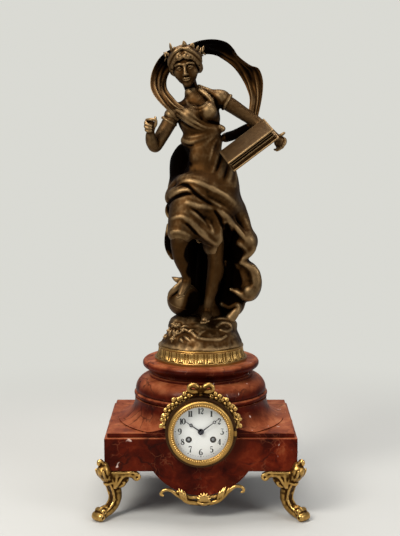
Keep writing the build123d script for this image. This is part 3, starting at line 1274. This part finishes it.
third_pinion_phase = mesh_phase(centre_phase, CENTRE_TEETH, THIRD_PINION_TEETH, centre_phase)
third_phase = angle_to(THIRD, ESCAPE)
third = arbor(THIRD, ARBOR_RADIUS)
third += toothed(
    gear_points(CENTRE_MODULE, THIRD_PINION_TEETH, third_pinion_phase), THIRD,
    THIRD_PINION_FRONT_Y, THIRD_PINION_BACK_Y,
)
third += spoked(
    gear_points(THIRD_MODULE, THIRD_TEETH, third_phase), THIRD, THIRD_FRONT_Y, THIRD_BACK_Y,
    rim_of(THIRD_MODULE, THIRD_TEETH), 2 * ARBOR_RADIUS, 4,
)
nodes["third_wheel"] = third

escape_pinion_phase = mesh_phase(third_phase, THIRD_TEETH, ESCAPE_PINION_TEETH, third_phase)
escape = arbor(ESCAPE, ARBOR_RADIUS)
escape += toothed(
    gear_points(THIRD_MODULE, ESCAPE_PINION_TEETH, escape_pinion_phase), ESCAPE,
    ESCAPE_PINION_FRONT_Y, ESCAPE_PINION_BACK_Y,
)
escape += toothed(
    saw_points(ESCAPE_RADIUS, ESCAPE_ROOT, ESCAPE_TEETH, 0), ESCAPE, ESCAPE_FRONT_Y, ESCAPE_BACK_Y
)
nodes["escape_wheel"] = escape

# Motion work behind the dial
cannon_phase = angle_to(CENTRE, MINUTE)
minute_phase = mesh_phase(cannon_phase, CANNON_TEETH, MINUTE_TEETH, cannon_phase)
cannon = toothed(
    gear_points(MINUTE_MODULE, CANNON_TEETH, cannon_phase), CENTRE,
    CANNON_PINION_FRONT_Y, CANNON_PINION_BACK_Y,
)
cannon += rod(CENTRE, minute_front_y, CANNON_PINION_BACK_Y, CANNON_PIPE_RADIUS)
nodes["cannon_pinion"] = cannon - rod(CENTRE, -FAR, 0, CENTRE_ARBOR_RADIUS + RUNNING_GAP)

minute_pinion_phase = angle_to(MINUTE, CENTRE)
minute_wheel = toothed(
    gear_points(MINUTE_MODULE, MINUTE_TEETH, minute_phase), MINUTE, MINUTE_WHEEL_FRONT_Y, MINUTE_WHEEL_BACK_Y
)
minute_wheel += toothed(
    gear_points(HOUR_MODULE, MINUTE_PINION_TEETH, minute_pinion_phase), MINUTE,
    MINUTE_PINION_FRONT_Y, MINUTE_WHEEL_BACK_Y,
)
nodes["minute_wheel"] = minute_wheel - rod(MINUTE, -FAR, 0, MINUTE_STUD_RADIUS + RUNNING_GAP)

hour_phase = mesh_phase(minute_pinion_phase, MINUTE_PINION_TEETH, HOUR_TEETH, minute_pinion_phase)
hour_wheel = toothed(
    gear_points(HOUR_MODULE, HOUR_TEETH, hour_phase), CENTRE, HOUR_WHEEL_FRONT_Y, HOUR_WHEEL_BACK_Y
)
hour_wheel += rod(CENTRE, HOUR_HAND_BACK_Y - HAND_THICKNESS, HOUR_WHEEL_BACK_Y, HOUR_PIPE_RADIUS)
nodes["hour_wheel"] = hour_wheel - rod(CENTRE, -FAR, 0, CANNON_PIPE_RADIUS + RUNNING_GAP)

# Anchor with its crutch, the suspension cock and the pendulum
anchor = rod(ANCHOR, FRONT_PLATE_FRONT_Y, FRONT_PLATE_BACK_Y + END_SHAKE, PIVOT_RADIUS)
anchor += rod(ANCHOR, FRONT_PLATE_BACK_Y + END_SHAKE, CRUTCH_BACK_Y, ANCHOR_ARBOR_RADIUS)
anchor += rod(ANCHOR, ANCHOR_FRONT_Y, ANCHOR_BACK_Y, ANCHOR_HUB_RADIUS)
for side in (-1, 1):
    pallet = plus(ANCHOR, (side * ANCHOR_ARM_SPREAD, -ANCHOR_ARM_DROP))
    anchor += bar(ANCHOR, pallet, ANCHOR_FRONT_Y, ANCHOR_BACK_Y, ANCHOR_ARM_WIDTH)
fork_at = plus(ANCHOR, (0.0, -CRUTCH_DROP))
anchor += bar(ANCHOR, fork_at, CRUTCH_FRONT_Y, CRUTCH_BACK_Y, CRUTCH_WIDTH)
fork_left = plus(fork_at, (-CRUTCH_FORK_SPREAD, 0.0))
fork_right = plus(fork_at, (CRUTCH_FORK_SPREAD, 0.0))
anchor += bar(fork_left, fork_right, CRUTCH_FRONT_Y, CRUTCH_BACK_Y, CRUTCH_WIDTH)
for at in (fork_left, fork_right):
    anchor += rod(at, CRUTCH_BACK_Y, CRUTCH_FORK_BACK_Y, CRUTCH_FORK_RADIUS)
nodes["anchor"] = anchor

cock_left = plus(ANCHOR, (-COCK_LEG_SPREAD, 0.0))
cock_right = plus(ANCHOR, (COCK_LEG_SPREAD, 0.0))
cock = bar(cock_left, cock_right, COCK_FRONT_Y, COCK_BACK_Y, 2 * COCK_HALF_HEIGHT)
for at in (cock_left, cock_right):
    cock += rod(at, BACK_PLATE_BACK_Y, COCK_FRONT_Y, COCK_LEG_RADIUS)
nodes["suspension_cock"] = cock + rod(ANCHOR, STUD_TIP_Y, COCK_FRONT_Y, STUD_RADIUS)

eye_front = PENDULUM_Y - PENDULUM_EYE_LENGTH / 2
eye_back = PENDULUM_Y + PENDULUM_EYE_LENGTH / 2
bob_at = plus(ANCHOR, (0.0, -PENDULUM_LENGTH))
pendulum = rod(ANCHOR, eye_front, eye_back, PENDULUM_EYE_RADIUS)
bob_half = PENDULUM_BOB_THICKNESS / 2
edge_half = PENDULUM_BOB_EDGE / 2
bob_x, bob_rise = dome_middle(PENDULUM_BOB_RADIUS, bob_half - edge_half)
bob = turned(
    (0, -bob_half),
    (bob_x, -edge_half - bob_rise, PENDULUM_BOB_RADIUS, -edge_half),
    (PENDULUM_BOB_RADIUS, edge_half),
    (bob_x, edge_half + bob_rise, 0, bob_half),
)
pendulum += facing(PENDULUM_Y, bob_at) * bob
nut_top = DIAL_Z + bob_at[1] - PENDULUM_BOB_RADIUS - RATING_NUT_GAP
rod_end = nut_top - RATING_NUT_HEIGHT - PENDULUM_TAIL
pendulum += Solid.make_cylinder(
    PENDULUM_ROD_RADIUS, DIAL_Z + ANCHOR[1] - rod_end - PENDULUM_EYE_RADIUS / 2,
    Plane(origin=(0, PENDULUM_Y, rod_end)),
)
pendulum += Solid.make_cylinder(
    RATING_NUT_RADIUS, RATING_NUT_HEIGHT, Plane(origin=(0, PENDULUM_Y, nut_top - RATING_NUT_HEIGHT))
)
nodes["pendulum"] = pendulum - rod(ANCHOR, -FAR, FAR, STUD_RADIUS + RUNNING_GAP)

# Strike side
pin_pinion_phase = mesh_phase(strike_phase, GREAT_TEETH, PIN_PINION_TEETH, strike_phase)
pin_wheel = arbor(PIN_WHEEL, ARBOR_RADIUS)
pin_wheel += toothed(
    gear_points(GREAT_MODULE, PIN_PINION_TEETH, pin_pinion_phase), PIN_WHEEL,
    SECOND_PINION_FRONT_Y, SECOND_PINION_BACK_Y,
)
pin_wheel += rod(PIN_WHEEL, PIN_DISC_FRONT_Y, PIN_DISC_BACK_Y, PIN_DISC_RADIUS)
for k in range(PIN_COUNT):
    pin_at = plus(PIN_WHEEL, polar(PIN_RING, 360 * k / PIN_COUNT))
    pin_wheel += rod(pin_at, PIN_DISC_BACK_Y, PIN_BACK_Y, PIN_RADIUS)
nodes["pin_wheel"] = pin_wheel

hammer = rod(HAMMER, FRONT_PLATE_FRONT_Y, FRONT_PLATE_BACK_Y + END_SHAKE, PIVOT_RADIUS)
hammer += rod(HAMMER, FRONT_PLATE_BACK_Y + END_SHAKE, HAMMER_ARM_BACK_Y, HAMMER_ARBOR_RADIUS)
tail_end = plus(HAMMER, polar(HAMMER_TAIL_LENGTH, angle_to(HAMMER, PIN_WHEEL)))
hammer += bar(HAMMER, tail_end, PIN_DISC_BACK_Y + END_SHAKE, PIN_BACK_Y, HAMMER_TAIL_WIDTH)
arm_end = plus(HAMMER, (0.0, -HAMMER_ARM_DROP))
hammer += bar(HAMMER, arm_end, CRUTCH_FRONT_Y, HAMMER_ARM_BACK_Y, HAMMER_ARM_WIDTH)
hammer += rod(arm_end, CRUTCH_FRONT_Y, HAMMER_REACH_BACK_Y, HAMMER_ARM_WIDTH / 2)
head_y = HAMMER_REACH_BACK_Y - HAMMER_HEAD_RADIUS
head_plane = Plane(origin=(HAMMER_HEAD_OUTER_X, head_y, DIAL_Z + arm_end[1]), z_dir=(1, 0, 0))
hammer += Solid.make_cylinder(HAMMER_HEAD_RADIUS, HAMMER_HEAD_INNER_X - HAMMER_HEAD_OUTER_X, head_plane)
nodes["hammer"] = hammer

bell_deep = STRIKE_BELL_CROWN_Y - STRIKE_BELL_MOUTH_Y
bell_in = STRIKE_BELL_RADIUS - STRIKE_BELL_WALL
bell_in_top = STRIKE_BELL_WALL
strike_bell = turned_front(
    STRIKE_BELL_CROWN_Y,
    (0, 0),
    (STRIKE_BELL_CROWN_RADIUS, 0),
    (STRIKE_BELL_RADIUS * half_root + STRIKE_BELL_WALL, bell_deep / 4, STRIKE_BELL_RADIUS, bell_deep),
    (bell_in, bell_deep),
    (
        bell_in * half_root + STRIKE_BELL_WALL, bell_deep / 4 + bell_in_top,
        STRIKE_BELL_CROWN_RADIUS, bell_in_top,
    ),
    (0, bell_in_top),
)
nodes["strike_bell"] = strike_bell - rod(CENTRE, -FAR, FAR, STAND_SCREW_RADIUS + SCREW_CLEARANCE)

stand_back_y = STRIKE_BELL_CROWN_Y + STAND_ARM_THICKNESS
stand = rod(STAND, BACK_PLATE_BACK_Y, stand_back_y, STAND_RADIUS)
stand += bar(STAND, CENTRE, STRIKE_BELL_CROWN_Y, stand_back_y, STAND_ARM_WIDTH)
nut_back_y = STRIKE_BELL_CROWN_Y - STRIKE_BELL_WALL
stand += rod(CENTRE, nut_back_y - STAND_NUT_HEIGHT, STRIKE_BELL_CROWN_Y, STAND_SCREW_RADIUS)
stand += rod(CENTRE, nut_back_y - STAND_NUT_HEIGHT, nut_back_y, STAND_NUT_RADIUS)
nodes["bell_stand"] = stand

# Rear ring and door, straps and their screws
rear_pin_hole = Solid.make_cylinder(
    HINGE_PIN_RADIUS + RUNNING_GAP, 2 * FAR, Plane(origin=(HINGE_X, REAR_HINGE_Y, -FAR))
)
rear_ring = rod(CENTRE, REAR_RING_FRONT_Y, REAR_RING_BACK_Y, REAR_RING_RADIUS)
rear_ring -= rod(CENTRE, REAR_RING_FRONT_Y, REAR_RING_BACK_Y, REAR_RING_BORE)
for low, high in knuckle_spans:
    rear_ring += knuckle(HINGE_X, REAR_HINGE_Y, low, high, HINGE_X, REAR_RING_FRONT_Y)
rear_ring -= rear_pin_hole
rear_door = rod(CENTRE, REAR_DOOR_FRONT_Y, REAR_DOOR_BACK_Y, REAR_DOOR_RADIUS)
for k in range(SOUND_HOLE_COUNT):
    hole_at = polar(SOUND_HOLE_RING, 360 * k / SOUND_HOLE_COUNT)
    rear_door -= rod(hole_at, 0, FAR, SOUND_HOLE_RADIUS)
rear_door += knuckle(
    HINGE_X, REAR_HINGE_Y, DIAL_Z - HINGE_KNUCKLE_HALF, DIAL_Z + HINGE_KNUCKLE_HALF,
    REAR_DOOR_RADIUS - HINGE_RADIUS, REAR_DOOR_FRONT_Y + HINGE_PIN_RADIUS,
)
knob_at = (-(REAR_DOOR_RADIUS - 2 * REAR_KNOB_RADIUS), 0.0)
rear_door += rod(knob_at, REAR_DOOR_BACK_Y, REAR_DOOR_BACK_Y + REAR_KNOB_LENGTH, REAR_KNOB_RADIUS)
nodes["rear_door"] = rear_door - rear_pin_hole

straps = []
strap_screws = []
collar_screw_y = (COLLAR_LUG_FRONT_Y + COLLAR_LUG_BACK_Y) / 2
for side in (-1, 1):
    ends = sorted((side * STRAP_INNER, side * STRAP_OUTER))
    tab = sorted((side * STRAP_TAB_INNER, side * STRAP_OUTER))
    low = DIAL_Z - STRAP_HALF_WIDTH
    high = DIAL_Z + STRAP_HALF_WIDTH
    strap = box_between((ends[0], COLLAR_LUG_FRONT_Y, low), (ends[1], REAR_RING_FRONT_Y, high))
    tab_y = REAR_RING_FRONT_Y - STRAP_TAB_THICKNESS
    strap += box_between((tab[0], tab_y, low), (tab[1], REAR_RING_FRONT_Y, high))
    screw_at = (side * STRAP_SCREW_X, 0.0)
    head_y = REAR_RING_BACK_Y - STRAP_HEAD_HEIGHT
    screw = rod(screw_at, tab_y, head_y, STRAP_SCREW_RADIUS) + rod(
        screw_at, head_y, REAR_RING_BACK_Y, STRAP_HEAD_RADIUS
    )
    rear_ring -= rod(screw_at, REAR_RING_FRONT_Y, head_y, STRAP_SCREW_RADIUS + SCREW_CLEARANCE)
    rear_ring -= rod(screw_at, head_y, REAR_RING_BACK_Y, STRAP_HEAD_RADIUS + SCREW_CLEARANCE)
    strap -= rod(screw_at, tab_y, REAR_RING_FRONT_Y, STRAP_SCREW_RADIUS + SCREW_CLEARANCE)
    collar_plane = Plane(origin=(side * (STRAP_INNER - STRAP_HEAD_HEIGHT), collar_screw_y, DIAL_Z),
                         z_dir=(side, 0, 0))
    collar_screw = Solid.make_cylinder(STRAP_SCREW_RADIUS, COLLAR_SCREW_LENGTH, collar_plane)
    collar_head = Solid.make_cylinder(STRAP_HEAD_RADIUS, STRAP_HEAD_HEIGHT, collar_plane)
    collar_hole = Solid.make_cylinder(
        STRAP_SCREW_RADIUS + SCREW_CLEARANCE, COLLAR_SCREW_LENGTH + SCREW_CLEARANCE, collar_plane
    )
    straps.append(strap - collar_hole)
    strap_screws += [screw, collar_screw + collar_head]
    nodes["bezel_collar"] -= collar_hole
nodes["rear_ring"] = rear_ring
nodes["straps"] = straps
nodes["strap_screws"] = strap_screws

# Figure: each piece is cut by those it is joined to
rock = stacked(ROCK_STATION_SHARES)
rod_plane = Plane(origin=(0, 0, ROD_BOTTOM_Z))
rod_length = ROD_TOP_Z - ROD_BOTTOM_Z
rod_room = Solid.make_cylinder(ROD_RADIUS + SCREW_CLEARANCE, rod_length + SCREW_CLEARANCE, rod_plane)
nodes["figure_rock"] = rock - rod_room
nodes["tie_rod"] = Solid.make_cylinder(ROD_RADIUS, rod_length, rod_plane)
nut_top_z = DIAL_Z + BORE_RADIUS - NUT_RADIUS ** 2 / (2 * BORE_RADIUS) - NUT_GAP
nut = Solid.make_cylinder(NUT_RADIUS, NUT_HEIGHT, Plane(origin=(0, 0, nut_top_z - NUT_HEIGHT)))
nodes["tie_nut"] = nut - Solid.make_cylinder(ROD_RADIUS + SCREW_CLEARANCE, FAR)

seam_x = FIGURE_HEIGHT * CASCADE_SEAM_SHARE
seam_top_z = FIGURE_BASE_Z + FIGURE_HEIGHT * CASCADE_LEVEL_SHARES[-1]
cascade_side = box_between((seam_x, -FAR, 0), (FAR, FAR, seam_top_z))
under_gown = [
    RAISED_THIGH_SHARES, STANDING_THIGH_SHARES, SHAWL_SHARES, CLOAK_SHARES, SASH_SHARES,
    BUST_LEFT_SHARES, BUST_RIGHT_SHARES,
]
body = draped(GOWN_CORE_SHARES, under_gown, GOWN_LEVEL_SHARES) - rock - cascade_side
nodes["figure_body"] = body
globe = ball(figure_point(GLOBE_CENTRE_SHARE), FIGURE_HEIGHT * GLOBE_RADIUS_SHARE) - rock - body
nodes["figure_globe"] = globe
standing = limb(STANDING_LEG_SHARES) + limb(STANDING_FOOT_SHARES)
nodes["figure_standing_leg"] = standing - rock - body - globe
raised = limb(RAISED_LEG_SHARES) + limb(RAISED_FOOT_SHARES)
nodes["figure_raised_leg"] = raised - body - globe
# Only the fall itself is kept, not the scrap that the rock's edge cuts off.
fall = draped(CASCADE_CORE_SHARES, [CASCADE_FALL_SHARES, CASCADE_LOOP_SHARES], CASCADE_LEVEL_SHARES)
cascade = (fall & cascade_side) - rock
for row in CASCADE_SCOOP_SHARES:
    cascade -= ball(figure_point(row), FIGURE_HEIGHT * row[3])
nodes["figure_cascade"] = max(cascade.solids(), key=lambda solid: solid.volume)
head = stacked(HEAD_STATION_SHARES) + limb(NECK_STATION_SHARES) - body
nodes["figure_head"] = head
right_arm = limb(RIGHT_ARM_SHARES) - body
nodes["figure_right_arm"] = right_arm
left_arm = limb(LEFT_ARM_SHARES) - body
nodes["figure_left_arm"] = left_arm

outer_edge = [Vector(*figure_point(row[:3])) for row in SCARF_EDGE_SHARES]
inner_edge = [Vector(*figure_point(row[3:])) for row in SCARF_EDGE_SHARES]
scarf_middle = [(outer + inner) * 0.5 for outer, inner in zip(outer_edge, inner_edge)]
scarf_sections = []
for k, middle in enumerate(scarf_middle):
    run = scarf_middle[min(k + 1, len(scarf_middle) - 1)] - scarf_middle[max(k - 1, 0)]
    across = inner_edge[k] - outer_edge[k]
    plane = Plane(origin=middle, x_dir=across, z_dir=run)
    upper_side = []
    for corner in range(2 * SCARF_PLEATS + 1):
        height = SCARF_THICKNESS / 2 + SCARF_PLEAT_DEPTH * (corner % 2)
        upper_side.append(((corner / (2 * SCARF_PLEATS) - 0.5) * across.length, height))
    lower_side = [(place, height - SCARF_THICKNESS) for place, height in reversed(upper_side)]
    scarf_sections.append(plane * make_face(Polyline(*upper_side, *lower_side, close=True)))
scarf = loft(scarf_sections)
nodes["figure_scarf"] = scarf - left_arm - right_arm - body - head

book_plane = Plane(
    origin=figure_point(BOOK_CENTRE_SHARE), x_dir=BOOK_LENGTH_DIRECTION, z_dir=BOOK_THICKNESS_DIRECTION
)
pages = book_plane * Box(
    BOOK_LENGTH - 2 * BOOK_COVER_OVERLAP, BOOK_WIDTH - 2 * BOOK_COVER_OVERLAP, BOOK_THICKNESS - 2 * BOOK_COVER
)
book = pages
cover_shift = (BOOK_THICKNESS - BOOK_COVER) / 2
for side in (-1, 1):
    book += book_plane * Pos(0, 0, side * cover_shift) * Box(BOOK_LENGTH, BOOK_WIDTH, BOOK_COVER)
spine_shift = (BOOK_WIDTH - BOOK_COVER) / 2
book += book_plane * Pos(0, spine_shift, 0) * Box(BOOK_LENGTH, BOOK_COVER, BOOK_THICKNESS)
nodes["figure_book"] = book - left_arm - body - nodes["figure_scarf"]


def write(name, shape):
    """One STEP file for a node; a list of alike pieces becomes one group."""
    if isinstance(shape, list):
        shape = Compound(children=[Part(item.solids()) if len(item.solids()) > 1 else item.solid()
                                   for item in shape])
    else:
        solids = shape.solids()
        shape = solids[0] if len(solids) == 1 else Compound(children=solids)
    export_step(shape, os.path.join("parts", f"{name}.step"))


os.makedirs("parts", exist_ok=True)
for name, shape in nodes.items():
    write(name, shape)
    solids = [s for item in (shape if isinstance(shape, list) else [shape]) for s in item.solids()]
    volume = sum(s.volume for s in solids)
    print(f"{name}: {len(solids)} solid(s), {volume:.1f} mm3")
